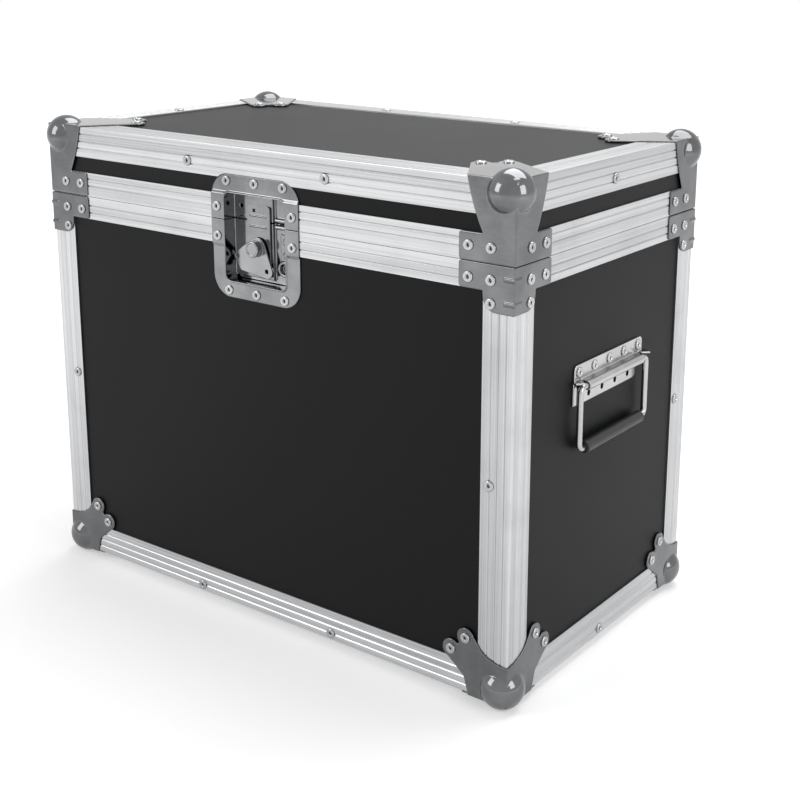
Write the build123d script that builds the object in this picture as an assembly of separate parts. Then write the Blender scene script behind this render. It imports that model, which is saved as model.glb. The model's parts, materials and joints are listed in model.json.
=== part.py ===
from build123d import *
import math
import os

# A small flight case: black laminated plywood panels held in ribbed aluminium edge angles, a
# tongue and groove rim round the split, steel ball corners, a recessed butterfly latch at the
# front, spring handle straps on both ends and two butt hinges at the back.
# Millimetres, +Z up, the front faces -Y. The origin is on the ground under the case's middle.

# Overall size, from ball to ball
overall_w = 550.0
overall_d = 320.0
overall_h = 450.0
ball_proud = 8.0

# Lid and base
lid_h = 66.0
split_gap = 0.4
panel_t = 7.0

# Ribbed aluminium edge angle
angle_leg = 28.5
angle_t = 1.5
fold_r = 1.2
groove_w = 1.7
groove_deep = 0.6
groove_first = 6.8
groove_pitch = 6.9
groove_count = 3

# Rim extrusions round the split
base_rim_h = 21.5
lid_rim_h = 23.0
rim_web_t = 2.0
rim_inner_h = 9.0
rim_groove_edge = 6.0
rim_groove_pitch = 6.8
rim_groove_count = 2
tongue_in = 5.0
tongue_base_w = 5.0
tongue_tip_w = 1.4
tongue_h = 3.5
tongue_clear = 0.4

# Pressed steel corners and braces
plate_t = 1.2
ball_r = 19.0
foot_flat = 0.6
relief_clear = 0.3
corner_plate_top_w = 44.0
corner_plate_waist_w = 29.0
corner_plate_bulge = 1.6
bracket_w = 51.0
bracket_corner_r = 2.5
brace_leg_h = 38.0
brace_leg_r = 13.0
rib_w = 9.0
rib_h = 2.4
rib_proud = 0.8
rib_drops = (9.0, 28.0)
lobe_r = 8.5
wing_lobe_a = (55.0, 36.0)
wing_lobe_b = (40.5, 50.0)
wing_foot_w = 37.5
wing_waist = (42.0, 15.0)
notch_depth = 35.0
notch_side = (19.0, 39.0)
top_lobe_a = (66.0, 50.0)
top_lobe_b = (50.0, 66.0)

# Pop rivets
rivet_head_r = 4.6
rivet_head_h = 1.5
rivet_dome = 1.1
rivet_shank_r = 2.4
rivet_eye_r = 1.3
rivet_eye_deep = 2.2
rivet_eye_bevel = 0.8
rivet_clear = 0.05
rim_rivet_drop = 12.5
bracket_rivet_near = 21.0
bracket_rivet_far = 42.0
leg_rivet_drop = 31.0
angle_rivet_x = 80.0
top_rivet_drop = 18.0
bottom_rivet_rise = 6.5
post_rivet_in = 20.5
post_rivet_z = 196.0

# Recessed latch. Places are from the latch's middle and from the split.
latch_x = 0.0
dish_w = 102.0
dish_top = 41.0
dish_bottom = 69.5
dish_corner_r = 20.0
dish_t = 1.2
step_slope = 2.4
recess_w = 71.0
recess_top = 24.5
recess_bottom = 54.0
recess_corner_r = 6.0
recess_deep = 15.0
cut_clear = 0.3
latch_rivet_x = 33.0
latch_rivet_side_x = 43.8
latch_rivet_top = 35.0
latch_rivet_bottom = 63.0
latch_rivet_above = 11.5
latch_rivet_below = 14.8

# Latch works
key_x = -5.7
key_drop = 23.3
carrier_gap = 1.5
carrier_t = 1.2
carrier_right = 10.0
carrier_margin = 3.0
draw_w = 27.0
draw_t = 1.5
draw_top = 14.0
draw_bottom = 38.0
draw_travel = 6.0
draw_gap = 0.3
draw_corner_r = 2.0
draw_slot_w = 13.0
draw_slot_h = 3.0
draw_slot_rise = 9.5
draw_bead_r = 0.8
draw_bead_rises = (5.0, -4.5)
draw_bead_w = 20.0
key_post_r = 4.0
key_post_clear = 0.08
key_collar_r = 5.6
key_collar_t = 0.8
key_plate_t = 1.5
key_gap = 1.2
key_hub_r = 9.5
key_ear_a = (11.0, -19.5)
key_ear_a_r = 6.6
key_ear_b = (-23.5, -9.5)
key_ear_b_r = 4.0
key_ear_c = (-18.5, -20.0)
key_ear_c_r = 2.2
key_hole_r = 2.0
knob_r = 7.3
knob_sunk = 0.8
knob_face_r = 5.6
knob_face_deep = 0.9
knob_edge_r = 0.9
roll_r = 2.0
roll_x0 = 13.0
roll_x1 = 31.0
roll_off = 2.8
eye_x = 23.0
eye_drop = 39.0
eye_r = 7.0
eye_hole_r = 4.6
eye_h = 4.2
hasp_x0 = 18.0
hasp_x1 = 30.0
hasp_top = 9.0
hasp_bottom = 33.0
hasp_h = 2.2
hasp_dome_r = 2.4
hasp_dome_h = 1.2
hasp_dome_in = 6.0
pip_r = 1.9
pip_rise = 12.0
pip_xs = (-27.0, 5.0)

# End handles. Places are from the strap's barrel.
handle_y = 1.0
handle_z = 257.0
strap_w = 117.0
strap_t = 1.5
strap_flange_h = 13.5
strap_low_w = 95.0
strap_low_h = 13.0
barrel_w = 95.0
barrel_out = 6.6
rod_r = 2.75
rod_clear = 0.08
barrel_wall = 1.6
bail_w = 114.0
bail_drop = 54.0
bail_bend_r = 5.5
bail_tip = 26.0
grip_r = 5.5
grip_len = 98.0
grip_clear = 0.05
tab_len = 11.0
tab_out = 11.0
tab_clear = 0.6
tab_t = 1.5
rest_tab_w = 5.5
rest_tab_len = 17.0
strap_rivet_pitch = 25.5
strap_rivet_count = 5
strap_rivet_rise = 12.0
strap_hole_pitch = 22.5
strap_hole_count = 4
strap_hole_drop = 6.5
strap_hole_r = 2.6

# Rear hinges
hinge_in = 102.0
hinge_w = 60.0
leaf_h = 20.0
leaf_t = 1.5
knuckle_r = 3.0
knuckle_wall_gap = 0.2
knuckle_count = 5
knuckle_gap = 0.3
pin_r = 1.5
pin_clear = 0.06
pin_over = 1.0
leaf_rivet_pitch = 21.0
leaf_rivet_count = 3

# Foam lining
foam_t = 6.0
foam_clear = 0.4
top_foam_t = 8.0

# Worked out from the sizes above
body_w = overall_w - 2 * ball_proud
body_d = overall_d - 2 * ball_proud
floor_z = ball_proud
top_z = overall_h - ball_proud
split_z = top_z - lid_h
lid_z = split_z + split_gap
half_w = body_w / 2
half_d = body_d / 2
ball_in = ball_r - ball_proud
wall_in = angle_t + panel_t
lid_web_t = tongue_h + tongue_clear + rim_web_t
rim_top_z = split_z + lid_rim_h
hinge_x = half_w - hinge_in
pivot_y = half_d + knuckle_r + knuckle_wall_gap
pivot_z = split_z + split_gap / 2
foam_in = wall_in + foam_t
draw_u = recess_deep - carrier_gap - carrier_t - draw_gap - draw_t
key_u = draw_u - key_gap - key_plate_t
key_z = split_z - key_drop
barrel_x = half_w - angle_t + barrel_out
far = 2 * (overall_w + overall_h)

SIDES = {"front": 0, "right": 90, "back": 180, "left": 270}


def block(x0, x1, y0, y1, z0, z1):
    """A box from its lowest to its highest corner."""
    centre = Pos((x0 + x1) / 2, (y0 + y1) / 2, (z0 + z1) / 2)
    return centre * Box(x1 - x0, y1 - y0, z1 - z0)


def flat(points):
    """A flat face in the XY plane from a closed run of points."""
    return make_face(Polyline(*points, close=True))


def prism(face, plane, start, stop):
    """A face drawn in a plane's own x and y, carried along its normal from start to stop."""
    return extrude(plane.offset(start) * face, stop - start, dir=plane.z_dir)


def side_place(side):
    """Local x runs along the side, local y points into the case, z is the case's own."""
    turn = SIDES[side]
    reach = half_d if side in ("front", "back") else half_w
    return Rot(0, 0, turn) * Pos(0, -reach, 0)


def side_length(side):
    return body_w if side in ("front", "back") else body_d


def mitred(face, length, depth):
    """A bar along local x with the face as its section, its ends cut at 45 degrees."""
    section = Plane(origin=(0, 0, 0), x_dir=(0, 1, 0), z_dir=(1, 0, 0))
    bar = prism(face, section, -length / 2, length / 2)
    half = length / 2
    trim = flat([(-half, 0), (half, 0), (half - depth, depth), (-half + depth, depth)])
    return bar & prism(trim, Plane.XY, -far, far)


def ribbed_edge(length, first, pitch, count):
    """Points along an outer face with V grooves, as pairs of run and depth."""
    points = []
    for index in range(count):
        middle = first + index * pitch
        if middle + groove_w / 2 < length:
            points += [(middle - groove_w / 2, 0), (middle, groove_deep), (middle + groove_w / 2, 0)]
    return points


def angle_section():
    """The edge angle: two ribbed legs that meet at a small outer radius."""
    ribs = ribbed_edge(angle_leg, groove_first, groove_pitch, groove_count)
    along = [(run, deep) for run, deep in ribs]
    down = [(deep, run) for run, deep in reversed(ribs)]
    inside = [(angle_leg, 0), (angle_leg, angle_t), (angle_t, angle_t), (angle_t, angle_leg), (0, angle_leg)]
    outline = flat([(0, 0)] + along + inside + down)
    fold = outline.vertices().sort_by_distance((0, 0, 0))[0]
    return fillet(fold, fold_r)


def ball_at(radius, drop=0.0):
    """The ball's sphere in a corner's own frame, where inwards is +x, +y and +z."""
    return Pos(ball_in, ball_in, ball_in - drop) * Sphere(radius)


def corner_relief():
    """What is trimmed off a corner of the angles so that it stays inside the pressed ball."""
    cube = block(-1, ball_in, -1, ball_in, -1, ball_in)
    return cube - ball_at(ball_r - plate_t - relief_clear)


def low_corner(piece):
    """Puts a corner's own frame at the front left corner of the case's underside."""
    return Pos(-half_w, -half_d, floor_z) * piece


def high_corner(piece):
    """The same at the front left corner of the top, with the corner's +z pointing down."""
    return Pos(-half_w, -half_d, top_z) * mirror(piece, Plane.XY)


def split_corner(piece):
    """The same at the split, for the braces, with the corner's +z pointing down."""
    return Pos(-half_w, -half_d, split_z) * mirror(piece, Plane.XY)


def at_corners(piece):
    """The front left piece and its mirror images, by name."""
    right = mirror(piece, Plane.YZ)
    return {
        "front_left": piece,
        "front_right": right,
        "back_left": mirror(piece, Plane.XZ),
        "back_right": mirror(right, Plane.XZ),
    }


def trimmed(bar, make):
    """Cuts the four corner reliefs off a bar."""
    for relief in at_corners(make(corner_relief())).values():
        bar = bar - relief
    return bar


# Rivets. A spot is where the head sits, and the way that the head points.


def spot(point, normal):
    return (tuple(point), tuple(normal))


def mirror_spots(spots):
    """The spots of the front left corner at all four corners."""
    out = []
    for sx in (1, -1):
        for sy in (1, -1):
            for (x, y, z), (nx, ny, nz) in spots:
                out.append(spot((sx * x, sy * y, z), (sx * nx, sy * ny, nz)))
    return out


def side_spot(side, run, z, raise_by=0.0):
    """A spot on a side wall, run along the side, raise_by out from the angle's face."""
    turn = math.radians(SIDES[side])
    reach = (half_d if side in ("front", "back") else half_w) + raise_by
    x = run * math.cos(turn) + reach * math.sin(turn)
    y = run * math.sin(turn) - reach * math.cos(turn)
    return spot((x, y, z), (math.sin(turn), -math.cos(turn), 0))


def shank_length(item):
    """From the head's seat to the inner face of the panel."""
    (x, y, z), (nx, ny, nz) = item
    if abs(nx) > 0.5:
        return abs(x) - (half_w - wall_in)
    if abs(ny) > 0.5:
        return abs(y) - (half_d - wall_in)
    if nz > 0:
        return z - (top_z - wall_in)
    return (floor_z + wall_in) - z


def rivet_solid(length):
    """A domed head with the mandrel's eye, and a plain shank."""
    head = Cylinder(rivet_head_r, rivet_head_h, align=(Align.CENTER, Align.CENTER, Align.MIN))
    head = fillet(head.edges().group_by(Axis.Z)[-1], rivet_dome)
    shank = Cylinder(rivet_shank_r, length, align=(Align.CENTER, Align.CENTER, Align.MAX))
    eye = Pos(0, 0, rivet_head_h - rivet_eye_deep / 2) * Cylinder(rivet_eye_r, rivet_eye_deep)
    mouth = Pos(0, 0, rivet_head_h) * Cone(
        rivet_eye_r,
        rivet_eye_r + rivet_eye_bevel,
        rivet_eye_bevel,
        align=(Align.CENTER, Align.CENTER, Align.MAX),
    )
    return head + shank - eye - mouth


def rivets(spots):
    """One separate rivet at each spot."""
    made = {}
    out = []
    for item in spots:
        length = round(shank_length(item), 3)
        if length not in made:
            made[length] = rivet_solid(length)
        out.append(Plane(origin=item[0], z_dir=item[1]).location * made[length])
    return Compound(children=[Solid(piece.solid().wrapped) for piece in out])


def drilled(solid, spots):
    """Drills the rivet holes that pass through a solid."""
    box = solid.bounding_box()
    reach = rivet_shank_r + rivet_clear
    holes = []
    for item in spots:
        length = shank_length(item)
        hole = Plane(origin=item[0], z_dir=item[1]).location * Pos(0, 0, (rivet_head_h - length) / 2) * Cylinder(
            reach, rivet_head_h + length
        )
        other = hole.bounding_box()
        apart = (
            other.min.X > box.max.X
            or other.max.X < box.min.X
            or other.min.Y > box.max.Y
            or other.max.Y < box.min.Y
            or other.min.Z > box.max.Z
            or other.max.Z < box.min.Z
        )
        if not apart:
            holes.append(hole)
    for hole in holes:
        solid = solid - hole
    return solid


# Panels


def base_panels():
    low = floor_z + angle_t
    high = split_z - rim_web_t
    wide = half_w - angle_t
    deep = half_d - angle_t
    seat = low + panel_t
    front = block(-wide, wide, -deep, -deep + panel_t, seat, high)
    side = block(-wide, -wide + panel_t, -deep + panel_t, deep - panel_t, seat, high)
    return {
        "base_panel_front": front,
        "base_panel_back": mirror(front, Plane.XZ),
        "base_panel_left": side,
        "base_panel_right": mirror(side, Plane.YZ),
        "base_panel_bottom": block(-wide, wide, -deep, deep, low, seat),
    }


def lid_panels():
    low = lid_z + lid_web_t
    high = top_z - angle_t
    wide = half_w - angle_t
    deep = half_d - angle_t
    seat = high - panel_t
    front = block(-wide, wide, -deep, -deep + panel_t, low, seat)
    side = block(-wide, -wide + panel_t, -deep + panel_t, deep - panel_t, low, seat)
    return {
        "lid_panel_front": front,
        "lid_panel_back": mirror(front, Plane.XZ),
        "lid_panel_left": side,
        "lid_panel_right": mirror(side, Plane.YZ),
        "lid_panel_top": block(-wide, wide, -deep, deep, seat, high),
    }


# Edge angles and rims


def bottom_angle(side):
    section = Pos(0, floor_z) * angle_section()
    bar = side_place(side) * mitred(section, side_length(side), angle_leg)
    return trimmed(bar, low_corner)


def top_angle(side):
    section = Pos(0, top_z) * mirror(angle_section(), Plane.XZ)
    bar = side_place(side) * mitred(section, side_length(side), angle_leg)
    return trimmed(bar, high_corner)


def corner_angles():
    """The upright angles between the bottom angles and the base rims."""
    bar = prism(angle_section(), Plane.XY, floor_z + angle_leg, split_z - base_rim_h)
    return at_corners(Pos(-half_w, -half_d, 0) * bar)


def rim_ribs(height):
    """Grooves on a rim's outer face, measured from its outer edge towards the split."""
    ribs = ribbed_edge(height, rim_groove_edge, rim_groove_pitch, rim_groove_count)
    return [(height - run, deep) for run, deep in ribs]


def base_rim_section():
    """Channel over the panel's edge with a tapered tongue. y is 0 at the split."""
    inner = wall_in + angle_t
    outer_face = [(deep, -run) for run, deep in reversed(rim_ribs(base_rim_h))]
    channel = [
        (0, -base_rim_h),
        (angle_t, -base_rim_h),
        (angle_t, -rim_web_t),
        (wall_in, -rim_web_t),
        (wall_in, -rim_inner_h),
        (inner, -rim_inner_h),
        (inner, 0),
    ]
    tongue = [
        (tongue_in + tongue_base_w / 2, 0),
        (tongue_in + tongue_tip_w / 2, tongue_h),
        (tongue_in - tongue_tip_w / 2, tongue_h),
        (tongue_in - tongue_base_w / 2, 0),
    ]
    return flat([(0, 0)] + outer_face + channel + tongue)


def lid_rim_section():
    """Channel over the lid panel's edge with the groove for the tongue. y is 0 at its lower face."""
    inner = wall_in + angle_t
    height = lid_rim_h - split_gap
    ribs = [(deep, run) for run, deep in reversed(rim_ribs(height))]
    channel = [
        (0, height),
        (angle_t, height),
        (angle_t, lid_web_t),
        (wall_in, lid_web_t),
        (wall_in, rim_inner_h),
        (inner, rim_inner_h),
        (inner, 0),
    ]
    mouth = tongue_base_w / 2 + tongue_clear
    tip = tongue_tip_w / 2 + tongue_clear
    roof = tongue_h + tongue_clear
    groove = [
        (tongue_in + mouth, 0),
        (tongue_in + tip, roof),
        (tongue_in - tip, roof),
        (tongue_in - mouth, 0),
    ]
    return flat([(0, 0)] + ribs + channel + groove)


def base_rim(side):
    section = Pos(0, split_z) * base_rim_section()
    return side_place(side) * mitred(section, side_length(side), wall_in + angle_t)


def lid_rim(side):
    section = Pos(0, lid_z) * lid_rim_section()
    return side_place(side) * mitred(section, side_length(side), wall_in + angle_t)


# Pressed corners. Each is drawn in a corner's own frame, where inwards is +x, +y and +z.


def front_wall(face, out, deep):
    """A face in x and z on the wall y = 0, from out in front of it to deep inside it."""
    plane = Plane(origin=(0, 0, 0), x_dir=(1, 0, 0), z_dir=(0, -1, 0))
    return prism(face, plane, -deep, out)


def swapped(piece):
    """The same piece on the corner's other wall."""
    return mirror(piece, Plane(origin=(0, 0, 0), z_dir=(1, -1, 0)))


def both_walls(face):
    """The face on both upright walls, and the strip of sheet round the fold between them."""
    wall = front_wall(face, plate_t, 0)
    corner = front_wall(face, plate_t, 0) & block(0, plate_t, -far, far, -far, far)
    strip = Pos(-plate_t, 0, 0) * corner
    return wall + swapped(wall) + strip


def lobed(points, lobe_a, lobe_b, radius):
    """An outline that ends in two round lobes."""
    plate = flat(points)
    for x, y in (lobe_a, lobe_b):
        plate = plate + Pos(x, y) * Circle(radius)
    return plate


def flat_wing():
    """The plate on the horizontal face, wide enough to reach past the angles to the panel."""
    wide = corner_plate_top_w
    points = [
        (0, 0),
        (wide, 0),
        (top_lobe_a[0] + lobe_r * 0.9, top_lobe_a[1] - lobe_r * 0.44),
        (top_lobe_a[0], top_lobe_a[1]),
        (top_lobe_b[0], top_lobe_b[1]),
        (top_lobe_b[0] - lobe_r * 0.44, top_lobe_b[1] + lobe_r * 0.9),
        (0, wide),
    ]
    return lobed(points, top_lobe_a, top_lobe_b, lobe_r)


def flat_plate():
    """That plate as a sheet, with its inner part pressed down onto the panel."""
    face = flat_wing()
    sheet = prism(face, Plane.XY, -plate_t, 0)
    edge = angle_leg + relief_clear
    inner = block(edge, far, edge, far, -far, far)
    pad = prism(face, Plane.XY, 0, angle_t) & inner
    return sheet + pad


def side_wing():
    """A bottom corner's plate: a foot by the ball, two lobes, and the notch up to the fold."""
    ax, az = wing_lobe_a
    bx, bz = wing_lobe_b
    points = [
        (0, 0),
        (wing_foot_w, 0),
        wing_waist,
        (ax + lobe_r * 0.35, az - lobe_r * 0.93),
        (ax, az),
        (bx, bz),
        (bx - lobe_r * 0.94, bz + lobe_r * 0.34),
        ((notch_side[0] + bx - lobe_r) / 2, (notch_side[1] + bz) / 2 - 1.0),
        notch_side,
        (notch_side[0] / 2, notch_depth + 0.8),
        (0, notch_depth),
    ]
    return lobed(points, wing_lobe_a, wing_lobe_b, lobe_r)


def pressed_ball(plates, drop=0.0):
    """The hollow ball round the corner, joined to its plates, outside the case's own faces."""
    inside = block(0, far, 0, far, 0, far)
    shell = ball_at(ball_r, drop) - inside
    return (plates + shell) - ball_at(ball_r - plate_t, drop)


def bottom_ball_corner():
    """Ball, two lobed wings and the plate underneath. The ball's end is a small flat foot."""
    wing = side_wing()
    walls = both_walls(wing)
    edge = angle_leg + relief_clear
    pad = front_wall(wing, 0, angle_t) & block(edge, far, -far, far, edge, far)
    brim = block(-plate_t, wing_foot_w, -plate_t, wing_foot_w, -plate_t, 0)
    plates = walls + pad + swapped(pad) + flat_plate() + brim
    corner = pressed_ball(plates, foot_flat)
    return corner - block(-far, far, -far, far, -far, -floor_z)


def lid_wall_outline():
    """A lid corner's upright plate: wide at the top, waisted, with a bracket over the rim."""
    rim_drop = lid_h - lid_rim_h
    foot = lid_h - split_gap
    middle = (corner_plate_top_w + corner_plate_waist_w) / 2
    side = ThreePointArc(
        (corner_plate_top_w, 0),
        (middle + corner_plate_bulge, rim_drop / 2),
        (corner_plate_waist_w, rim_drop),
    )
    rest = Polyline((corner_plate_waist_w, rim_drop), (bracket_w, rim_drop), (bracket_w, foot), (0, foot))
    close = Polyline((0, foot), (0, 0), (corner_plate_top_w, 0))
    outline = make_face(side + rest + close)
    tips = [point for point in outline.vertices() if point.X > bracket_w - relief_clear]
    return fillet(tips, bracket_corner_r)


def lid_ball_corner():
    walls = both_walls(lid_wall_outline())
    brim = block(-plate_t, corner_plate_top_w, -plate_t, corner_plate_top_w, -plate_t, 0)
    return pressed_ball(walls + flat_plate() + brim)


def brace_outline():
    """A brace: an arm over the rim and a leg with a rounded end down the upright angle."""
    points = [(0, 0), (bracket_w, 0), (bracket_w, base_rim_h), (angle_leg, base_rim_h)]
    points += [(angle_leg, brace_leg_h), (0, brace_leg_h)]
    outline = flat(points)
    toe = [p for p in outline.vertices() if abs(p.X - angle_leg) < 0.1 and p.Y > brace_leg_h - 0.1]
    outline = fillet(toe, brace_leg_r)
    tips = [p for p in outline.vertices() if p.X > bracket_w - 0.1]
    return fillet(tips, bracket_corner_r)


def fold_rib(drop):
    """A pressed rib that runs round the fold."""
    outer = block(-plate_t - rib_proud, rib_w, -plate_t - rib_proud, rib_w, drop, drop + rib_h)
    ends = outer.edges().filter_by(Axis.Z)
    ends = [edge for edge in ends if edge.center().X + edge.center().Y > 0]
    rib = chamfer(ends, rib_proud * 0.9)
    return rib - block(0, far, 0, far, -far, far)


def corner_brace():
    brace = both_walls(brace_outline())
    for drop in rib_drops:
        brace = brace + fold_rib(drop)
    return brace


# Recessed latch. Face coordinates are x from the latch's middle and z from the split.


def latch_plane():
    """Local x along the front, local y up, and the normal pointing out of the front."""
    return Plane(origin=(latch_x, -half_d, split_z), x_dir=(1, 0, 0), z_dir=(0, -1, 0))


def latch_solid(face, outer, inner):
    """A face on the front, from depth outer to depth inner, counted inwards."""
    return prism(face, latch_plane(), -inner, -outer)


def dish_outline(grow=0.0):
    height = dish_top + dish_bottom + 2 * grow
    middle = (dish_top - dish_bottom) / 2
    return Pos(0, middle) * RectangleRounded(dish_w + 2 * grow, height, dish_corner_r + grow)


def recess_outline(grow=0.0):
    height = recess_top + recess_bottom + 2 * grow
    middle = (recess_top - recess_bottom) / 2
    return Pos(0, middle) * RectangleRounded(recess_w + 2 * grow, height, recess_corner_r + grow)


def latch_band(low, high):
    """Everything between two heights from the split."""
    z0 = split_z + low
    return block(-far, far, -far, far, z0, split_z + high)


def flange(rim_h, end, sign):
    """The dish's flange: proud over the rim, stepped back to lie on the panel beyond it."""
    over = angle_t - dish_t
    edge = rim_h + cut_clear
    outer = [(-dish_t, 0), (-dish_t, edge), (over, edge + step_slope), (over, end)]
    inner = [(angle_t, end), (angle_t, edge), (0, edge), (0, 0)]
    points = [(-deep, sign * run) for deep, run in outer + inner]
    across = Plane(origin=(latch_x, -half_d, split_z), x_dir=(0, -1, 0), z_dir=(-1, 0, 0))
    return prism(flat(points), across, -dish_w / 2, dish_w / 2)


def dish_tray():
    """The sunk tray with its walls and floor."""
    outer = latch_solid(recess_outline(dish_t), -dish_t, recess_deep + dish_t)
    return outer - latch_solid(recess_outline(), -far, recess_deep)


def tray_block(x0, x1, z0, z1, outer, inner):
    face = Pos((x0 + x1) / 2, (z0 + z1) / 2) * Rectangle(x1 - x0, z1 - z0)
    return latch_solid(face, outer, inner)


def tray_rod(x, z, radius, outer, inner):
    return latch_solid(Pos(x, z) * Circle(radius), outer, inner)


def split_roll(z, toward):
    """The rolled edge of the tray's floor beside the split, with the web that carries it."""
    axis = recess_deep - eye_h / 2
    roll = Pos(latch_x + (roll_x0 + roll_x1) / 2, -half_d + axis, split_z + z) * Rot(0, 90, 0)
    web = tray_block(roll_x0, roll_x1, z - toward, z + toward, axis, recess_deep + dish_t / 2)
    return roll * Cylinder(roll_r, roll_x1 - roll_x0) + web


def carrier(low, high):
    """The raised plate in the tray that the draw plate slides in front of."""
    outer = recess_deep - carrier_gap - carrier_t
    left = -recess_w / 2 - dish_t / 2
    plate = tray_block(left, carrier_right, low, high, outer, outer + carrier_t)
    skirt = tray_block(carrier_right - carrier_t, carrier_right, low, high, outer, recess_deep + dish_t / 2)
    return plate + skirt


def latch_dish_base():
    low = -far
    tray = dish_tray() & latch_band(low, 0)
    body = flange(base_rim_h, dish_bottom, -1) & latch_solid(dish_outline(), -far, far)
    body = (body & latch_band(low, 0)) - latch_solid(recess_outline(), -far, far)
    dish = body + tray + carrier(-recess_bottom + carrier_margin, -split_gap)
    dish = dish + split_roll(-roll_off, roll_r / 2)
    eye = tray_rod(eye_x, -eye_drop, eye_r, recess_deep - eye_h, recess_deep + dish_t / 2)
    hasp = tray_block(hasp_x0, hasp_x1, -hasp_bottom, -hasp_top, recess_deep - hasp_h, recess_deep + dish_t / 2)
    for drop in (hasp_top + hasp_dome_in, hasp_bottom - hasp_dome_in):
        top = recess_deep - hasp_h - hasp_dome_h
        hasp = hasp + tray_rod((hasp_x0 + hasp_x1) / 2, -drop, hasp_dome_r, top, recess_deep)
    dish = dish + hasp + eye - tray_rod(eye_x, -eye_drop, eye_hole_r, 0, recess_deep)
    post = tray_rod(key_x, -key_drop, key_post_r + key_post_clear, 0, recess_deep)
    return dish - post


def latch_dish_lid():
    tray = dish_tray() & latch_band(split_gap, far)
    body = flange(lid_rim_h, dish_top, 1) & latch_solid(dish_outline(), -far, far)
    body = (body & latch_band(split_gap, far)) - latch_solid(recess_outline(), -far, far)
    dish = body + tray + carrier(split_gap, recess_top - carrier_margin)
    dish = dish + split_roll(roll_off + split_gap, roll_r / 2)
    for x in pip_xs:
        dish = dish - tray_rod(x, pip_rise, pip_r, 0, recess_deep)
    return dish


def latch_draw_plate():
    """The plate that slides up when the key turns, with the slot that rides on the key's post."""
    middle = (draw_top - draw_bottom) / 2
    outline = Pos(key_x, middle) * RectangleRounded(draw_w, draw_top + draw_bottom, draw_corner_r)
    plate = latch_solid(outline, draw_u, draw_u + draw_t)
    for rise in draw_bead_rises:
        place = Pos(latch_x + key_x, -half_d + draw_u, split_z + rise) * Rot(0, 90, 0)
        bead = place * Cylinder(draw_bead_r, draw_bead_w)
        plate = plate + (bead & tray_block(-far, far, -far, far, -far, draw_u + draw_t / 2))
    slot = tray_block(
        key_x - draw_slot_w / 2,
        key_x + draw_slot_w / 2,
        draw_slot_rise - draw_slot_h / 2,
        draw_slot_rise + draw_slot_h / 2,
        0,
        recess_deep,
    )
    reach = key_post_r + draw_gap
    way = tray_rod(key_x, -key_drop, reach, 0, recess_deep)
    way = way + tray_rod(key_x, -key_drop - draw_travel, reach, 0, recess_deep)
    way = way + tray_block(key_x - reach, key_x + reach, -key_drop - draw_travel, -key_drop, 0, recess_deep)
    return plate - slot - way


def latch_key():
    """Round knob, butterfly plate, post and the collar behind the carrier."""
    centre = Pos(key_x, -key_drop)
    hub = Circle(key_hub_r)
    ear_a = Pos(*key_ear_a) * Circle(key_ear_a_r)
    ear_b = Pos(*key_ear_b) * Circle(key_ear_b_r)
    ear_c = Pos(*key_ear_c) * Circle(key_ear_c_r)
    plate_face = make_hull((hub + ear_a + ear_b + ear_c).edges())
    holes = Pos(*key_ear_a) * Circle(key_hole_r) + Pos(*key_ear_b) * Circle(key_hole_r)
    plate = latch_solid(centre * (plate_face - holes), key_u, key_u + key_plate_t)
    back = recess_deep - carrier_gap
    post = tray_rod(key_x, -key_drop, key_post_r, key_u, back + carrier_gap - draw_gap)
    collar = tray_rod(key_x, -key_drop, key_collar_r, back + key_collar_t / 4, back + key_collar_t)
    knob = tray_rod(key_x, -key_drop, knob_r, knob_sunk, key_u)
    rim = knob.edges().group_by(Axis.Y)[0]
    knob = fillet(rim, knob_edge_r)
    face = tray_rod(key_x, -key_drop, knob_face_r, 0, knob_sunk + knob_face_deep)
    return plate + post + collar + (knob - face)


# End handles, drawn at the right end with local x pointing out of the case.


def strap_plate(z0, z1, wide):
    x0 = half_w - angle_t
    return block(x0, x0 + strap_t, handle_y - wide / 2, handle_y + wide / 2, z0, z1)


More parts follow.
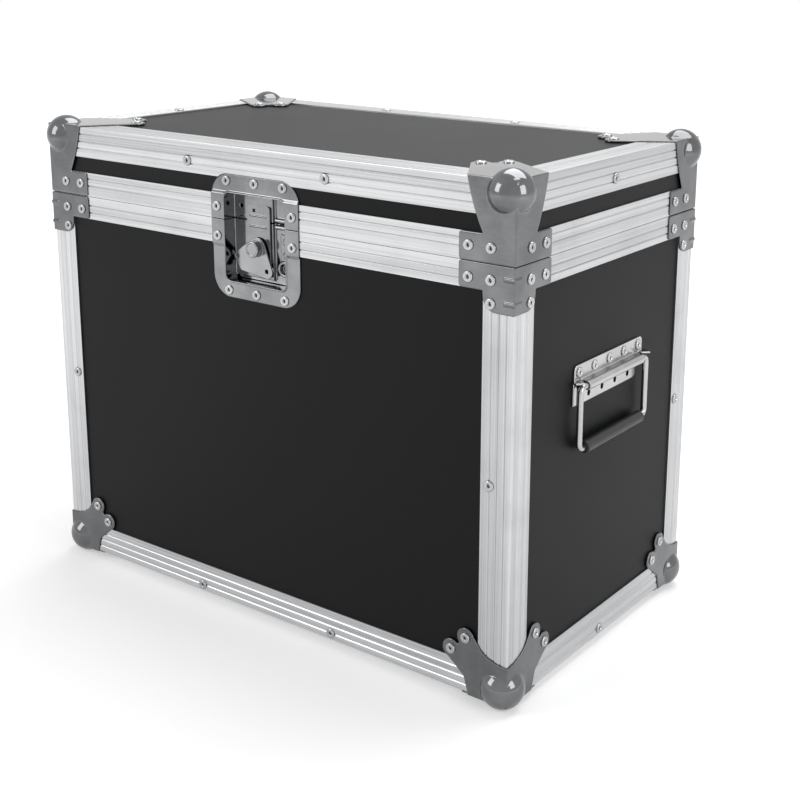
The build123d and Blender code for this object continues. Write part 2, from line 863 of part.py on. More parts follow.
def handle_strap():
    """A pressed strap: a flange above, a barrel round the bail's ends, a flange below, end tabs."""
    wall_x = half_w - angle_t
    bore = rod_r + rod_clear
    outer = bore + barrel_wall
    low = handle_z - outer
    high = handle_z + outer
    upper = strap_plate(handle_z + bore, high + strap_flange_h, strap_w)
    tips = [edge for edge in upper.edges().filter_by(Axis.X) if edge.center().Z > high]
    upper = fillet(tips, strap_flange_h / 3)
    lower = strap_plate(low - strap_low_h, handle_z - bore, strap_low_w)
    tips = [edge for edge in lower.edges().filter_by(Axis.X) if edge.center().Z < low]
    lower = chamfer(tips, strap_low_h / 4)
    y0 = handle_y - barrel_w / 2
    y1 = handle_y + barrel_w / 2
    hood = block(wall_x, barrel_x, y0, y1, low, high)
    axis = Pos(barrel_x, handle_y, handle_z) * Rot(90, 0, 0)
    hood = hood + axis * Cylinder(outer, barrel_w)
    way = block(wall_x - 1, barrel_x, y0 - 1, y1 + 1, handle_z - bore, handle_z + bore)
    strap = upper + lower + hood - way - axis * Cylinder(bore, far)
    tab_z = handle_z + rod_r + tab_clear
    for sign in (-1, 1):
        middle = handle_y + sign * bail_w / 2
        reach = wall_x + tab_out
        half = tab_len / 2
        points = [
            (wall_x, middle - half),
            (reach - half, middle - half),
            (reach, middle),
            (reach - half, middle + half),
            (wall_x, middle + half),
        ]
        strap = strap + prism(flat(points), Plane.XY, tab_z, tab_z + tab_t)
    rest_y = handle_y - bail_w / 2
    rest = block(
        wall_x,
        wall_x + strap_t,
        rest_y - rest_tab_w / 2,
        rest_y + rest_tab_w / 2,
        handle_z - rest_tab_len,
        tab_z + tab_t,
    )
    strap = strap + rest
    for index in range(strap_hole_count):
        y = handle_y + (index - (strap_hole_count - 1) / 2) * strap_hole_pitch
        hole = Pos(wall_x, y, low - strap_hole_drop + rod_clear) * Rot(0, 90, 0)
        strap = strap - hole * Cylinder(strap_hole_r, 4 * strap_t)
    return strap


def handle_bail():
    """A bent wire: two tips in the barrel, two legs, and the run that the grip is on."""
    half = bail_w / 2
    tip = half - bail_tip
    low = handle_z - bail_drop
    points = [(tip, handle_z), (half, handle_z), (half, low), (-half, low), (-half, handle_z), (-tip, handle_z)]
    places = [(barrel_x, handle_y + run, z) for run, z in points]
    path = FilletPolyline(*places, radius=bail_bend_r)
    start = Plane(origin=path @ 0, z_dir=path % 0)
    return sweep(start * Circle(rod_r), path=path)


def handle_grip():
    axis = Pos(barrel_x, handle_y, handle_z - bail_drop) * Rot(90, 0, 0)
    tube = Cylinder(grip_r, grip_len)
    tube = fillet(tube.edges().filter_by(GeomType.CIRCLE), grip_r / 5)
    return axis * (tube - Cylinder(rod_r + grip_clear, far))


# Rear hinges


def knuckle_span(index):
    """The start and end of one knuckle along the hinge."""
    step = hinge_w / knuckle_count
    start = -hinge_w / 2 + index * step
    return start + knuckle_gap / 2, start + step - knuckle_gap / 2


def knuckle_rod(x0, x1, radius):
    place = Pos((x0 + x1) / 2, pivot_y, pivot_z) * Rot(0, 90, 0)
    return place * Cylinder(radius, x1 - x0)


def hinge_leaf(sign):
    """A leaf and its knuckles. The lid's leaf has sign 1 and the base's has -1."""
    edge = lid_z if sign > 0 else split_z
    z0, z1 = sorted((edge, edge + sign * leaf_h))
    leaf = block(-hinge_w / 2, hinge_w / 2, half_d, half_d + leaf_t, z0, z1)
    mine = [index for index in range(knuckle_count) if (index % 2 == 1) == (sign > 0)]
    others = [index for index in range(knuckle_count) if index not in mine]
    for index in mine:
        x0, x1 = knuckle_span(index)
        foot = sorted((pivot_z, pivot_z + sign * knuckle_r))
        web = block(x0, x1, half_d + knuckle_wall_gap, pivot_y, foot[0], foot[1])
        keep = block(x0, x1, half_d, pivot_y + knuckle_r, min(z0, pivot_z - far), max(z1, pivot_z + far))
        leaf = leaf + knuckle_rod(x0, x1, knuckle_r) + (web & keep)
    clear = knuckle_r + knuckle_wall_gap
    for index in others:
        x0, x1 = knuckle_span(index)
        leaf = leaf - knuckle_rod(x0 - knuckle_gap, x1 + knuckle_gap, clear)
    return leaf - knuckle_rod(-hinge_w, hinge_w, pin_r + pin_clear)


def hinge_pin():
    """A pin with a small head at each end."""
    half = hinge_w / 2
    head = knuckle_rod(half + knuckle_gap, half + knuckle_gap + pin_over, knuckle_r)
    return knuckle_rod(-half - knuckle_gap, half + knuckle_gap, pin_r) + head + mirror(head, Plane.YZ)


def pair(piece):
    """The same piece at both hinges, as two separate solids."""
    return Compound(children=[(Pos(x, 0, 0) * piece).solid() for x in (-hinge_x, hinge_x)])


# Foam lining


def foam_sheets(low, high, plate_low, plate_high, open_low, open_high):
    """Side strips and one flat sheet. The front strips leave the latch's tray free."""
    wide = half_w - wall_in
    deep = half_d - wall_in
    gap = recess_w / 2 + dish_t + foam_clear
    left = block(-wide, latch_x - gap, -deep, -deep + foam_t, low, high)
    right = block(latch_x + gap, wide, -deep, -deep + foam_t, low, high)
    middle = block(latch_x - gap, latch_x + gap, -deep, -deep + foam_t, open_low, open_high)
    back = block(-wide, wide, deep - foam_t, deep, low, high)
    side = block(-wide, -wide + foam_t, -deep + foam_t, deep - foam_t, low, high)
    plate = block(-wide, wide, -deep, deep, plate_low, plate_high)
    return [left, right, middle, back, side, mirror(side, Plane.YZ), plate]


def base_foam():
    floor = floor_z + wall_in
    low = floor + foam_t
    tray = split_z - recess_bottom - dish_t - foam_clear
    return foam_sheets(low, split_z - rim_inner_h - foam_clear, floor, low, low, tray)


def lid_foam():
    roof = top_z - wall_in
    high = roof - top_foam_t
    tray = split_z + recess_top + dish_t + foam_clear
    return foam_sheets(lid_z + rim_inner_h + foam_clear, high, high, roof, tray, high)


# Rivet spots


def corner_spot(side, inward, z, raise_by):
    """A spot near the front left corner, inward along the wall from the upright fold."""
    if side == "front":
        return spot((-half_w + inward, -half_d - raise_by, z), (0, -1, 0))
    return spot((-half_w - raise_by, -half_d + inward, z), (-1, 0, 0))


def wing_spots(top):
    """Rivets of the flat plate of a ball corner, on the top or underneath."""
    z = top_z + plate_t if top else floor_z - plate_t
    up = 1 if top else -1
    return [spot((-half_w + a, -half_d + b, z), (0, 0, up)) for a, b in (top_lobe_a, top_lobe_b)]


def base_spots():
    corner = []
    for side in ("front", "left"):
        for inward in (bracket_rivet_near, bracket_rivet_far):
            corner.append(corner_spot(side, inward, split_z - rim_rivet_drop, plate_t))
        corner.append(corner_spot(side, bracket_rivet_near, split_z - leg_rivet_drop, plate_t))
        for a, h in (wing_lobe_a, wing_lobe_b):
            corner.append(corner_spot(side, a, floor_z + h, plate_t))
    corner += wing_spots(False)
    spots = mirror_spots(corner)
    for sign in (-1, 1):
        for side in ("front", "back"):
            spots.append(side_spot(side, sign * (half_w - post_rivet_in), post_rivet_z))
            spots.append(side_spot(side, sign * angle_rivet_x, floor_z + bottom_rivet_rise))
    spots.append(side_spot("right", half_d - post_rivet_in, post_rivet_z))
    spots.append(side_spot("left", -half_d + post_rivet_in, post_rivet_z))
    for side in ("left", "right"):
        spots.append(side_spot(side, 0, floor_z + bottom_rivet_rise))
    return spots


def strap_spots():
    out = []
    rise = rod_r + rod_clear + barrel_wall + strap_flange_h / 2
    for side, sign in (("right", 1), ("left", -1)):
        for index in range(strap_rivet_count):
            run = (index - (strap_rivet_count - 1) / 2) * strap_rivet_pitch
            out.append(side_spot(side, sign * (handle_y + run), handle_z + rise, strap_t - angle_t))
    return out


def latch_spot(x, z):
    rim = -base_rim_h < z < lid_rim_h
    seat = dish_t if rim else dish_t - angle_t
    return spot((latch_x + x, -half_d - seat, split_z + z), (0, -1, 0))


def latch_base_spots():
    out = [latch_spot(x, -latch_rivet_bottom) for x in (-latch_rivet_x, 0, latch_rivet_x)]
    return out + [latch_spot(sign * latch_rivet_side_x, -latch_rivet_below) for sign in (-1, 1)]


def latch_lid_spots():
    out = [latch_spot(x, latch_rivet_top) for x in (-latch_rivet_x, 0, latch_rivet_x)]
    return out + [latch_spot(sign * latch_rivet_side_x, latch_rivet_above) for sign in (-1, 1)]


def hinge_spots(z):
    out = []
    for middle in (-hinge_x, hinge_x):
        for index in range(leaf_rivet_count):
            run = middle + (index - (leaf_rivet_count - 1) / 2) * leaf_rivet_pitch
            out.append(side_spot("back", run, z, leaf_t))
    return out


def lid_spots():
    corner = []
    for side in ("front", "left"):
        for inward in (bracket_rivet_near, bracket_rivet_far):
            corner.append(corner_spot(side, inward, split_z + rim_rivet_drop, plate_t))
    corner += wing_spots(True)
    spots = mirror_spots(corner)
    for sign in (-1, 1):
        for side in ("front", "back"):
            spots.append(side_spot(side, sign * angle_rivet_x, top_z - top_rivet_drop))
        spots.append(spot((sign * angle_rivet_x, half_d - top_rivet_drop, top_z), (0, 0, 1)))
    for side in ("left", "right"):
        spots.append(side_spot(side, 0, top_z - top_rivet_drop))
    spots.append(spot((-half_w + top_rivet_drop, 0, top_z), (0, 0, 1)))
    return spots


def build():
    """Every sub-part by its node name."""
    parts = {}
    base_holes = base_spots() + strap_spots() + latch_base_spots() + hinge_spots(split_z - rim_rivet_drop)
    lid_holes = lid_spots() + latch_lid_spots() + hinge_spots(split_z + rim_rivet_drop)
    tray_hole = latch_solid(recess_outline(dish_t + cut_clear), -far, recess_deep + far / 4)
    tray_hole = tray_hole & block(-far, far, -far, 0, -far, far)
    dish_hole = latch_solid(dish_outline(cut_clear), -far, angle_t)

    for name, piece in base_panels().items():
        parts[name] = drilled(piece, base_holes)
    for name, piece in lid_panels().items():
        parts[name] = drilled(piece, lid_holes)
    for side in SIDES:
        parts["bottom_angle_" + side] = drilled(bottom_angle(side), base_holes)
        parts["top_angle_" + side] = drilled(top_angle(side), lid_holes)
        parts["base_rim_" + side] = drilled(base_rim(side), base_holes)
        parts["lid_rim_" + side] = drilled(lid_rim(side), lid_holes)
    for corner, piece in corner_angles().items():
        parts["corner_angle_" + corner] = drilled(piece, base_holes)
    for name in ("base_panel_front", "lid_panel_front", "base_rim_front", "lid_rim_front"):
        parts[name] = parts[name] - tray_hole
    parts["top_angle_front"] = parts["top_angle_front"] - dish_hole

    for corner, piece in at_corners(low_corner(bottom_ball_corner())).items():
        parts["bottom_ball_corner_" + corner] = drilled(piece, base_holes)
    for corner, piece in at_corners(high_corner(lid_ball_corner())).items():
        parts["lid_ball_corner_" + corner] = drilled(piece, lid_holes)
    for corner, piece in at_corners(split_corner(corner_brace())).items():
        parts["corner_brace_" + corner] = drilled(piece, base_holes)
    parts["base_rivets"] = rivets(base_holes)
    parts["lid_rivets"] = rivets(lid_holes)

    parts["latch_dish_base"] = drilled(latch_dish_base(), latch_base_spots())
    parts["latch_dish_lid"] = drilled(latch_dish_lid(), latch_lid_spots())
    parts["latch_draw_plate"] = latch_draw_plate()
    parts["latch_key"] = latch_key()

    parts["handle_strap_right"] = drilled(handle_strap(), strap_spots())
    parts["handle_bail_right"] = handle_bail()
    parts["handle_grip_right"] = handle_grip()
    for piece in ("strap", "bail", "grip"):
        name = "handle_" + piece + "_"
        parts[name + "left"] = mirror(parts[name + "right"], Plane.YZ)

    hinge_z = split_z - rim_rivet_drop
    parts["hinge_base_leaves"] = drilled(pair(hinge_leaf(-1)), hinge_spots(hinge_z))
    parts["hinge_lid_leaves"] = drilled(pair(hinge_leaf(1)), hinge_spots(split_z + rim_rivet_drop))
    parts["hinge_pins"] = pair(hinge_pin())

    parts["base_foam_lining"] = Compound(children=[sheet.solid() for sheet in base_foam()])
    parts["lid_foam_lining"] = Compound(children=[sheet.solid() for sheet in lid_foam()])
    return parts


if __name__ == "__main__":
    os.makedirs("parts", exist_ok=True)
    made = build()
    for name, piece in made.items():
        export_step(piece, "parts/" + name + ".step")
    print(len(made), "sub-parts written")
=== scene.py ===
# %% [markdown]
# # A lighting flight case
#
# Plywood panels with a black laminate are held in ribbed aluminium angles. Pressed steel corners,
# each with a hollow ball, guard the eight corners, and a recessed latch shuts the lid. The CAD model
# already has these pieces in their real sizes. This notebook gives them their finishes, makes the
# pressed and padded pieces that need rounder forms, and sets the camera and the light.

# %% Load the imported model
import json
import math

import bpy
import numpy as np
from mathutils import Matrix, Vector

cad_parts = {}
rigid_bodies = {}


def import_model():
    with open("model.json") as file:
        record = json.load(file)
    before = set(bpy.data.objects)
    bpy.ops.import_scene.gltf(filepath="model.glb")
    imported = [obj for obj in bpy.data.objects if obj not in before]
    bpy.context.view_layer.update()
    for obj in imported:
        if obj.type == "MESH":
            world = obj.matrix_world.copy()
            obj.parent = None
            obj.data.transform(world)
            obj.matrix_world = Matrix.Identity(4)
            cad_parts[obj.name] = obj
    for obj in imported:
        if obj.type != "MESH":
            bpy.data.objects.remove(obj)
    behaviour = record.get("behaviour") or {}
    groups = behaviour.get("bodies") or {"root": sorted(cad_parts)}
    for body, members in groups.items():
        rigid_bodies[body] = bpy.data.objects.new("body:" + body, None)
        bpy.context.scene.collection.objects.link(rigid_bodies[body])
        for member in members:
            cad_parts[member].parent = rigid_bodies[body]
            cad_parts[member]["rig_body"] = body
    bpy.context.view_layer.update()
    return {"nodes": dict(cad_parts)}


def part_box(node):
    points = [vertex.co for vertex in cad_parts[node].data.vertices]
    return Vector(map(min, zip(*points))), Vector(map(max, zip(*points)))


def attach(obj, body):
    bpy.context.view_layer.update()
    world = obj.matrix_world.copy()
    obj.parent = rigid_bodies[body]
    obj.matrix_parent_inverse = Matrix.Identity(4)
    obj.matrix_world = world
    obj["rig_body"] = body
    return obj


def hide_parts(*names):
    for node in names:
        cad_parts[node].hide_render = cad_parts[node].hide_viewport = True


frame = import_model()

nodes = frame["nodes"]

# %% [markdown]
# ## The camera
#
# The view was worked out from the case itself: the centres of seven of its eight balls, whose places
# are known, give the turn, the tilt, the distance and the lens. The small shift stands for the crop of
# the picture. Lengths are in metres, angles in degrees.

# %% Place the camera
turn, tilt, roll = 35.9, 13.8, 0.4
distance, aside, above = 1.3290, 0.0714, 0.0623
focal_px, frame_px = 1364.0, 800.0
aim = Vector((0.0, 0.0, 0.233))


def camera_axes(turn, tilt, roll):
    """Right, up and back from the turn about Z, the tilt above the floor and the roll about the view."""
    a, e, r = (math.radians(v) for v in (turn, tilt, roll))
    back = Vector((math.sin(a) * math.cos(e), -math.cos(a) * math.cos(e), math.sin(e)))
    right = Vector((math.cos(a), math.sin(a), 0.0))
    up = back.cross(right)
    right, up = math.cos(r) * right + math.sin(r) * up, math.cos(r) * up - math.sin(r) * right
    return right, up, back


right, up, back = camera_axes(turn, tilt, roll)
eye = bpy.data.cameras.new("view")
eye.sensor_width = 36.0
eye.lens = focal_px / frame_px * eye.sensor_width
eye.shift_x, eye.shift_y = -0.05, -0.15
eye.clip_end = 50.0
camera = bpy.data.objects.new("view", eye)
bpy.context.scene.collection.objects.link(camera)
place = Matrix((right, up, back)).transposed().to_4x4()
place.translation = aim + back * distance + right * aside + up * above
camera.matrix_world = place
bpy.context.scene.camera = camera
print("lens", round(eye.lens, 1), "mm")

# %% [markdown]
# ## Shader maths that reads like maths
#
# A finish is a formula: some noise times an amount, plus a base value. Blender writes it as Math
# nodes, which are slow to read in code. This class wraps a socket, so that + and * add those nodes.


# %% A socket that can be added and multiplied
class Wire:
    """One output in a material. A sum or product of wires becomes the Math node that works it out."""

    def __init__(self, tree, socket):
        self.tree, self.socket = tree, socket

    def node(self, kind, settings=None, output=0, **values):
        """Adds any node: first its settings, then the values or links of its sockets by name."""
        made = self.tree.nodes.new(kind)
        for name, value in (settings or {}).items():
            setattr(made, name, value)
        for name, value in values.items():
            key = int(name[1:]) if name[0] == "_" else name.replace("_", " ")
            self.feed(made.inputs[key], value)
        return Wire(self.tree, made.outputs[output])

    def feed(self, socket, value):
        """Links a wire to a socket, or sets the socket to a number, a vector or a colour."""
        if isinstance(value, Wire):
            self.tree.links.new(value.socket, socket)
        elif socket.type == "RGBA" and len(value) == 3:
            socket.default_value = (*value, 1.0)
        else:
            socket.default_value = value

    def _maths(self, operation, first, second):
        vector = "VECTOR" in [w.socket.type for w in (first, second) if isinstance(w, Wire)]
        kind = "ShaderNodeVectorMath" if vector else "ShaderNodeMath"
        return self.node(kind, {"operation": operation}, _0=first, _1=second)

    def __add__(self, other):
        return self._maths("ADD", self, other)

    def __radd__(self, other):
        return self._maths("ADD", other, self)

    def __sub__(self, other):
        return self._maths("SUBTRACT", self, other)

    def __rsub__(self, other):
        return self._maths("SUBTRACT", other, self)

    def __mul__(self, other):
        return self._maths("MULTIPLY", self, other)

    def __rmul__(self, other):
        return self._maths("MULTIPLY", other, self)

    def mix(self, low, high):
        """A colour from low to high as this wire goes from 0 to 1."""
        made = self.tree.nodes.new("ShaderNodeMix")
        made.data_type = "RGBA"
        self.feed(made.inputs["Factor"], self)
        self.feed(made.inputs[6], low)
        self.feed(made.inputs[7], high)
        return Wire(self.tree, made.outputs[2])

    def noise(self, scale, detail=3.0, roughness=0.55):
        """Cloudy noise from 0 to 1, read at this wire's place."""
        return self.node("ShaderNodeTexNoise", Vector=self, Scale=scale, Detail=detail, Roughness=roughness)

    def ramp(self, low, high):
        """0 below low, 1 above high, and smooth between them."""
        settings = {"interpolation_type": "SMOOTHSTEP"}
        return self.node("ShaderNodeMapRange", settings, Value=self, From_Min=low, From_Max=high)

    def openness(self, reach):
        """1 in the open and near 0 in a groove or hole that is narrower than the reach."""
        return self.node("ShaderNodeAmbientOcclusion", {"samples": 8}, 1, Distance=reach)

    def length(self):
        """How long a vector is."""
        return self.node("ShaderNodeVectorMath", {"operation": "LENGTH"}, 1, _0=self)


# %% [markdown]
# ## One way to start every finish
#
# All finishes end in the Principled shader. What is the same all over is set on its sockets. What
# varies is a wire: colour, roughness and a height for the bump.


# %% Start a finish
def new_finish(name, metallic=0.0, **fixed):
    """A material with a Principled shader, and the object's own coordinates in metres as a wire."""
    material = bpy.data.materials.new(name)
    material.use_nodes = True
    tree = material.node_tree
    shader = tree.nodes["Principled BSDF"]
    shader.inputs["Metallic"].default_value = metallic
    for key, value in fixed.items():
        shader.inputs[key.replace("_", " ")].default_value = value
    here = tree.nodes.new("ShaderNodeTexCoord").outputs["Object"]
    return material, shader, Wire(tree, here)


def end_finish(shader, wire, colour, roughness, height=None, depth=0.0001, strength=1.0):
    """Feeds the varying colour, roughness and bump height, in metres times depth, to the shader."""
    wire.feed(shader.inputs["Base Color"], colour)
    wire.feed(shader.inputs["Roughness"], roughness)
    if height is not None:
        bump = wire.node("ShaderNodeBump", Height=height, Distance=depth, Strength=strength)
        wire.feed(shader.inputs["Normal"], bump)


def paint(names, material):
    """Gives CAD nodes or new pieces this finish."""
    for name in names:
        mesh = nodes[name].data if isinstance(name, str) else name.data
        mesh.materials.clear()
        mesh.materials.append(material)


# %% [markdown]
# ## Black laminate
#
# The panels are plywood with a phenolic skin. It is nearly black, has a fine leathery grain and
# takes a soft gloss from a lamp. Two noises make the grain, and a wide one the uneven sheen.

# %% Make the laminate
laminate, shader, here = new_finish("black_laminate", Specular_IOR_Level=0.13)
grain = here.noise(1500.0, 4.0, 0.6)
speck = here.noise(5200.0, 1.0)
wide = here.noise(5.0, 2.0)
tint = (0.7 * grain + 0.3 * speck).ramp(0.35, 0.68)
dark = tint.mix((0.0030, 0.0032, 0.0036), (0.0075, 0.0079, 0.0085))
rough = 0.38 + 0.12 * tint + 0.08 * wide
end_finish(shader, here, dark, rough, 0.75 * grain + 0.25 * speck, 0.00022, 0.55)
panels = [name for name in nodes if "_panel_" in name]
paint(panels, laminate)
print(len(panels), "panels")

# %% [markdown]
# ## Ribbed aluminium
#
# The angles and rims are drawn through a die, so their fine lines run along the length. Noise that
# is stretched some 280 times along one axis gives them, and each run direction needs its own stretch.
# Painted shade darkens the grooves between the ribs and every other place that is not open to the room, and
# a loose noise adds patches of dirt.


# %% Make the aluminium for each run
def aluminium(name, along):
    """Drawn aluminium whose lines run along one axis: few noise cells along it, many across it."""
    material, shader, here = new_finish(name, metallic=1.0)
    cells_along, cells_across, groove = 1.5, 420.0, 0.0035
    stretch = tuple(cells_along if axis == along else cells_across for axis in range(3))
    lines = here * stretch
    fine = lines.noise(2.4, 3.0, 0.65)
    broad = lines.noise(0.35, 2.0)
    dirt = here.noise(14.0, 4.0, 0.6).ramp(0.45, 0.85)
    shade = (0.55 * fine + 0.45 * broad).ramp(0.30, 0.70)
    metal = shade.mix((0.40, 0.405, 0.415), (0.60, 0.605, 0.615))
    # painted shade: the colour turns dark grey in grooves and seams that are closed in, and the dirt noise
    # darkens it a little more
    painted_shade = (1.0 - here.openness(groove)).ramp(0.15, 0.85)
    colour = (0.20 * dirt + 0.75 * painted_shade).mix(metal, (0.10, 0.10, 0.105))
    rough = 0.25 + 0.12 * shade + 0.10 * dirt
    end_finish(shader, here, colour, rough, fine, 0.00006, 0.5)
    return material


metals = [aluminium("aluminium_along_" + letter, axis) for axis, letter in enumerate("xyz")]
for name in nodes:
    if name.startswith("corner_angle"):
        paint([name], metals[2])
    elif "_angle_" in name or "_rim_" in name:
        paint([name], metals[0 if name.endswith(("front", "back")) else 1])
print(len(metals), "run directions")

# %% [markdown]
# ## Bright plated steel
#
# Corners, braces, latch and handles are pressed steel with a bright plate. It mirrors the pale room
# more than it scatters, so its own colour is a deep grey, and only faint smudges vary the gloss.
# Painted shade makes the colour near black where pieces meet, in holes and in seams, as the openness of
# each place tells.


# %% Make the plated steel
def plated(name, low, high, gloss, smudge=0.10, wave=0.00012):
    """A mirror-like metal between two greys, with smudges in the gloss and a faint pressed wave."""
    material, shader, here = new_finish(name, metallic=1.0)
    cloud = here.noise(22.0, 4.0, 0.6)
    hair = (here * (60.0, 60.0, 900.0)).noise(1.0, 2.0)
    tone = (0.85 * cloud + 0.15 * hair).ramp(0.3, 0.75)
    rough = gloss + smudge * tone
    swell = here.noise(90.0, 1.0) + 0.04 * here.noise(900.0, 2.0)
    seam = 0.0025
    # painted shade: near black where pieces meet, in rivet holes and in narrow seams
    painted_shade = (1.0 - here.openness(seam)).ramp(0.25, 0.9)
    colour = (0.75 * painted_shade).mix(tone.mix(low, high), (0.02, 0.02, 0.022))
    end_finish(shader, here, colour, rough, swell, wave, 0.35)
    return material


corner_steel = plated("corner_steel", (0.12, 0.123, 0.128), (0.19, 0.194, 0.20), 0.07, 0.06)
latch_steel = plated("latch_steel", (0.17, 0.174, 0.18), (0.26, 0.265, 0.27), 0.08, 0.06)
key_steel = plated("key_steel", (0.24, 0.245, 0.25), (0.34, 0.345, 0.35), 0.17, 0.08)
handle_steel = plated("handle_steel", (0.38, 0.38, 0.385), (0.50, 0.50, 0.505), 0.17)
rivet_steel = plated("rivet_steel", (0.36, 0.36, 0.368), (0.48, 0.48, 0.488), 0.13)
hinge_steel = plated("hinge_steel", (0.40, 0.405, 0.41), (0.52, 0.525, 0.53), 0.24)
for name in nodes:
    if name.endswith("rivets"):
        paint([name], rivet_steel)
    elif "hinge" in name:
        paint([name], hinge_steel)
    elif "handle_strap" in name or "handle_bail" in name:
        paint([name], handle_steel)
    elif name == "latch_key":
        paint([name], key_steel)
    elif "latch" in name:
        paint([name], latch_steel)
    elif "ball_corner" in name or "brace" in name:
        paint([name], corner_steel)
print("six plated finishes")

# %% [markdown]
# ## Pressed pieces with soft edges
#
# A press leaves no sharp edge: the ball runs into its plates through a small radius. A copy of the
# CAD node is rebuilt on a fine grid of voxels, and its points are then averaged with their
# neighbours, which rounds every edge by about half a millimetre.


# %% Round a pressed piece
def pressed(name, voxel, passes, material, keep=1.0):
    """A copy of a CAD node on a voxel grid, smoothed passes times. It replaces the node."""
    source = nodes[name]
    mesh = source.data.copy()
    mesh.name = name + "_pressed"
    piece = bpy.data.objects.new(name + "_pressed", mesh)
    bpy.context.scene.collection.objects.link(piece)
    weld = piece.modifiers.new("weld", "WELD")
    weld.merge_threshold = 0.00001
    grid = piece.modifiers.new("grid", "REMESH")
    grid.mode, grid.voxel_size, grid.use_smooth_shade = "VOXEL", voxel, True
    soft = piece.modifiers.new("soft", "SMOOTH")
    soft.factor, soft.iterations = 0.5, passes
    if keep < 1.0:
        thin = piece.modifiers.new("thin", "DECIMATE")
        thin.ratio = keep
    shape = piece.evaluated_get(bpy.context.evaluated_depsgraph_get())
    made = bpy.data.meshes.new_from_object(shape)
    piece.modifiers.clear()
    piece.data = made
    made.shade_smooth()
    paint([piece], material)
    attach(piece, source["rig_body"])
    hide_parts(name)
    return piece


count = 0
for name in list(nodes):
    near = name.endswith("front_right")
    if "ball_corner" in name:
        piece = pressed(name, 0.00050 if near else 0.00065, 5, corner_steel, 0.5)
    elif "brace" in name:
        piece = pressed(name, 0.00045 if near else 0.0006, 3, corner_steel, 0.5)
    elif name.startswith("latch_dish"):
        piece = pressed(name, 0.00045, 3, latch_steel, 0.5)
    elif name in ("latch_key", "latch_draw_plate"):
        piece = pressed(name, 0.00025, 3, key_steel if name == "latch_key" else latch_steel, 0.5)
    elif "handle_strap" in name:
        piece = pressed(name, 0.00045, 3, handle_steel, 0.5)
    else:
        continue
    count += len(piece.data.polygons)
print("pressed pieces have", count, "faces")

# %% [markdown]
# ## Surfaces from two parameters
#
# The remaining shapes are grids: one parameter runs along the piece and one round it. Numpy works
# out all points at once, and the faces join each grid square to the next.


# %% A grid that becomes a mesh
def grid_mesh(name, points, material, body, wrap=True, smooth=True):
    """A mesh from points[along, round]. With wrap the second parameter closes on itself."""
    rows, cols = points.shape[:2]
    last = cols if wrap else cols - 1
    i, j = np.meshgrid(np.arange(rows - 1), np.arange(last), indexing="ij")
    k = (j + 1) % cols
    quads = np.stack([i * cols + j, i * cols + k, (i + 1) * cols + k, (i + 1) * cols + j], axis=-1)
    mesh = bpy.data.meshes.new(name)
    mesh.from_pydata(points.reshape(-1, 3).tolist(), [], quads.reshape(-1, 4).tolist())
    mesh.validate()
    piece = bpy.data.objects.new(name, mesh)
    bpy.context.scene.collection.objects.link(piece)
    if smooth:
        mesh.shade_smooth()
    paint([piece], material)
    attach(piece, body)
    return piece


# %% [markdown]
# ## Rubber grips
#
# Each grip is a sleeve on the wire of the bail, moulded in black rubber, with round ends and faint
# rings. It is a profile of length and radius, carried round the grip's axis.

# %% Make the grips
rubber, shader, here = new_finish("grip_rubber", Specular_IOR_Level=0.45)
pore = here.noise(2600.0, 2.0)
haze = here.noise(30.0, 3.0)
black = haze.mix((0.012, 0.012, 0.013), (0.022, 0.022, 0.024))
end_finish(shader, here, black, 0.34 + 0.18 * haze, pore, 0.00008, 0.4)


def grip(side):
    """A sleeve round the wire: radius against length, with round ends and faint moulded rings."""
    low, high = (np.array(v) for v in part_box("handle_grip_" + side))
    centre = (low + high) / 2
    half = (high[1] - low[1]) / 2
    outer, bore, lip = 0.0055, 0.00282, 0.0011
    bend = np.linspace(0, np.pi / 2, 7)
    run = np.linspace(-half + lip, half - lip, 161)
    ring_depth, ring_pairs = 0.00012, 20
    rings = ring_depth * np.cos(run / half * np.pi * ring_pairs) ** 8
    start = np.stack([-half + lip - lip * np.cos(bend), outer - lip + lip * np.sin(bend)], axis=-1)
    body = np.stack([run, outer - rings], axis=-1)
    profile = np.concatenate([[[-half, bore]], start, body[1:-1], -start[::-1] * [1, -1], [[half, bore]]])
    profile = np.concatenate([profile, profile[:1]])
    turn = np.linspace(0, 2 * np.pi, 40, endpoint=False)
    along = np.broadcast_to(profile[:, :1], (len(profile), len(turn)))
    reach = profile[:, 1:] * np.ones_like(turn)
    across, height = centre[0] + reach * np.cos(turn), centre[2] + reach * np.sin(turn)
    points = np.stack([across, centre[1] + along, height], axis=-1)
    piece = grid_mesh("grip_sleeve_" + side, points, rubber, "handle_" + side)
    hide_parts("handle_grip_" + side)
    return piece


for side in ("left", "right"):
    print(grip(side).name)

# %% [markdown]
# ## Foam lining
#
# The lining is cut from flat sheets of open foam, which the CAD model already has in their places. A
# copy of the sheets is welded, its flat faces are joined, and a bevel softens every edge. A foam sheet
# that stands between hard walls keeps its shape, so it needs no cloth simulation.

# %% Make the foam
foam, shader, here = new_finish("foam", Sheen_Weight=0.35, Sheen_Roughness=0.6)
cells = here.node("ShaderNodeTexVoronoi", {"feature": "F1"}, Vector=here, Scale=700.0)
cloud = here.noise(60.0, 3.0)
tone = (0.6 * cells + 0.4 * cloud).ramp(0.15, 0.75)
black = tone.mix((0.008, 0.008, 0.009), (0.035, 0.035, 0.037))
end_finish(shader, here, black, 0.85 + 0.1 * tone, cells, 0.0006, 0.8)


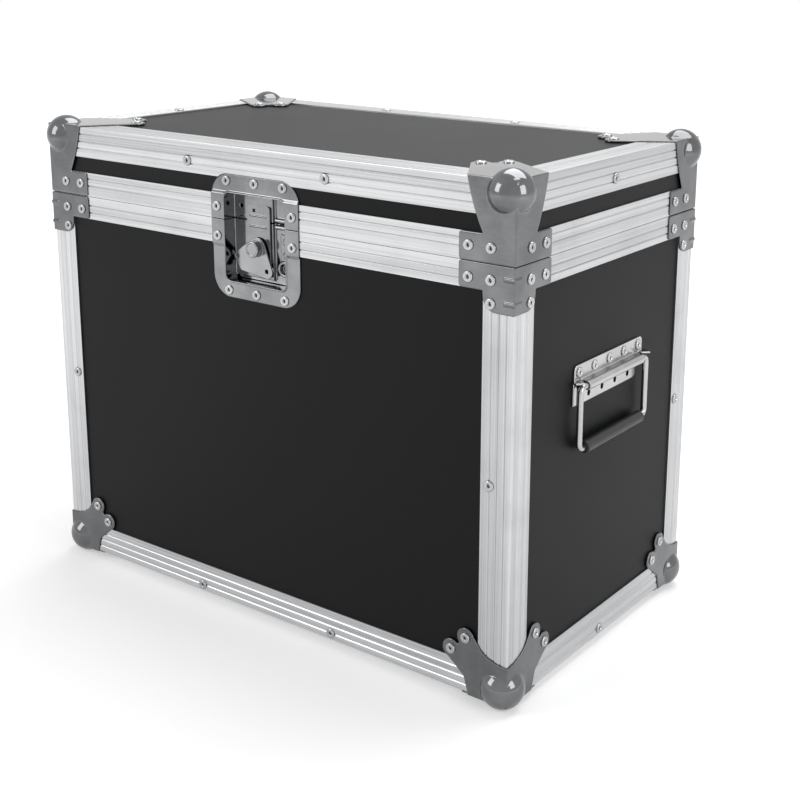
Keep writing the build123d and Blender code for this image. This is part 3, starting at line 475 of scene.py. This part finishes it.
def soft_sheets(name):
    """A copy of the lining's sheets, welded, with every edge rounded."""
    source = nodes[name]
    piece = bpy.data.objects.new(name + "_soft", source.data.copy())
    bpy.context.scene.collection.objects.link(piece)
    weld = piece.modifiers.new("weld", "WELD")
    weld.merge_threshold = 0.00001
    flat = piece.modifiers.new("flat", "DECIMATE")
    flat.decimate_type, flat.angle_limit = "DISSOLVE", math.radians(2.0)
    edge = piece.modifiers.new("edge", "BEVEL")
    edge.width, edge.segments, edge.limit_method, edge.angle_limit = 0.0016, 3, "ANGLE", math.radians(40)
    shape = piece.evaluated_get(bpy.context.evaluated_depsgraph_get())
    made = bpy.data.meshes.new_from_object(shape)
    piece.modifiers.clear()
    piece.data = made
    made.shade_smooth()
    paint([piece], foam)
    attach(piece, source["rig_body"])
    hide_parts(name)
    return piece


for name in ("base_foam_lining", "lid_foam_lining"):
    print(soft_sheets(name).name, "replaces", name)

# %% [markdown]
# ## Floor and light
#
# A pale floor under soft boxes gives even light from above and in front. Camera and mirror rays see
# a little extra from the floor, which lifts it to white and leaves the case's shadow. The lamps fade
# with distance, so the far floor gets more of it, and no horizon shows.

# %% Lay the floor
backdrop, shader, here = new_finish("pale_floor", Specular_IOR_Level=0.2)
tree = backdrop.node_tree
speck = here.noise(3.0, 2.0)
end_finish(shader, here, speck.mix((0.80, 0.80, 0.80), (0.84, 0.84, 0.84)), 0.7 + 0.1 * speck)
path = tree.nodes.new("ShaderNodeLightPath")
seen = Wire(tree, path.outputs["Is Camera Ray"]) + Wire(tree, path.outputs["Is Glossy Ray"])
seen = seen + Wire(tree, path.outputs["Is Transmission Ray"])
far = here.length().ramp(0.45, 1.9)
near_lift, far_lift = 0.42, 0.44
lift = (near_lift + far_lift * far) * seen
glow = here.node("ShaderNodeEmission", Color=(1.0, 1.0, 1.0), Strength=lift)
both = here.node("ShaderNodeAddShader", _0=Wire(tree, shader.outputs[0]), _1=glow)
here.feed(tree.nodes["Material Output"].inputs["Surface"], both)
size = np.array([[-6.0, 6.0]])
x, y = np.meshgrid(size[0], size[0], indexing="ij")
ground = np.stack([x, y, np.zeros_like(x)], axis=-1)
mesh = bpy.data.meshes.new("floor")
mesh.from_pydata(ground.reshape(-1, 3).tolist(), [], [(0, 2, 3, 1)])
floor = bpy.data.objects.new("floor", mesh)
bpy.context.scene.collection.objects.link(floor)
floor.data.materials.append(backdrop)

# %% Light it
world = bpy.data.worlds.new("studio")
bpy.context.scene.world = world
world.use_nodes = True
tree = world.node_tree
path = tree.nodes.new("ShaderNodeLightPath")
sky = tree.nodes["Background"]
sky.inputs["Color"].default_value = (1.0, 1.0, 1.0, 1.0)
seen = Wire(tree, path.outputs["Is Camera Ray"]) + Wire(tree, path.outputs["Is Glossy Ray"])
seen = seen + Wire(tree, path.outputs["Is Transmission Ray"])
ambient = 0.30
seen.feed(sky.inputs["Strength"], ambient + (1.0 - ambient) * seen)


def soft_box(name, place, target, width, height, power):
    """A rectangular lamp that faces its target."""
    lamp = bpy.data.lights.new(name, "AREA")
    lamp.shape, lamp.size, lamp.size_y, lamp.energy = "RECTANGLE", width, height, power
    box = bpy.data.objects.new(name, lamp)
    bpy.context.scene.collection.objects.link(box)
    box.location = place
    box.rotation_euler = (Vector(target) - Vector(place)).to_track_quat("-Z", "Y").to_euler()
    return box


soft_box("top_box", (0.1, 0.5, 1.7), (0, 0, 0.3), 1.6, 1.2, 24.0)
soft_box("front_box", (-1.1, -1.6, 1.1), (0, 0, 0.25), 0.9, 1.2, 12.0)
soft_box("side_box", (1.9, -0.2, 0.9), (0, 0, 0.25), 0.8, 1.1, 9.0)
view = bpy.context.scene.view_settings
view.view_transform = "Standard"
print("three soft boxes")
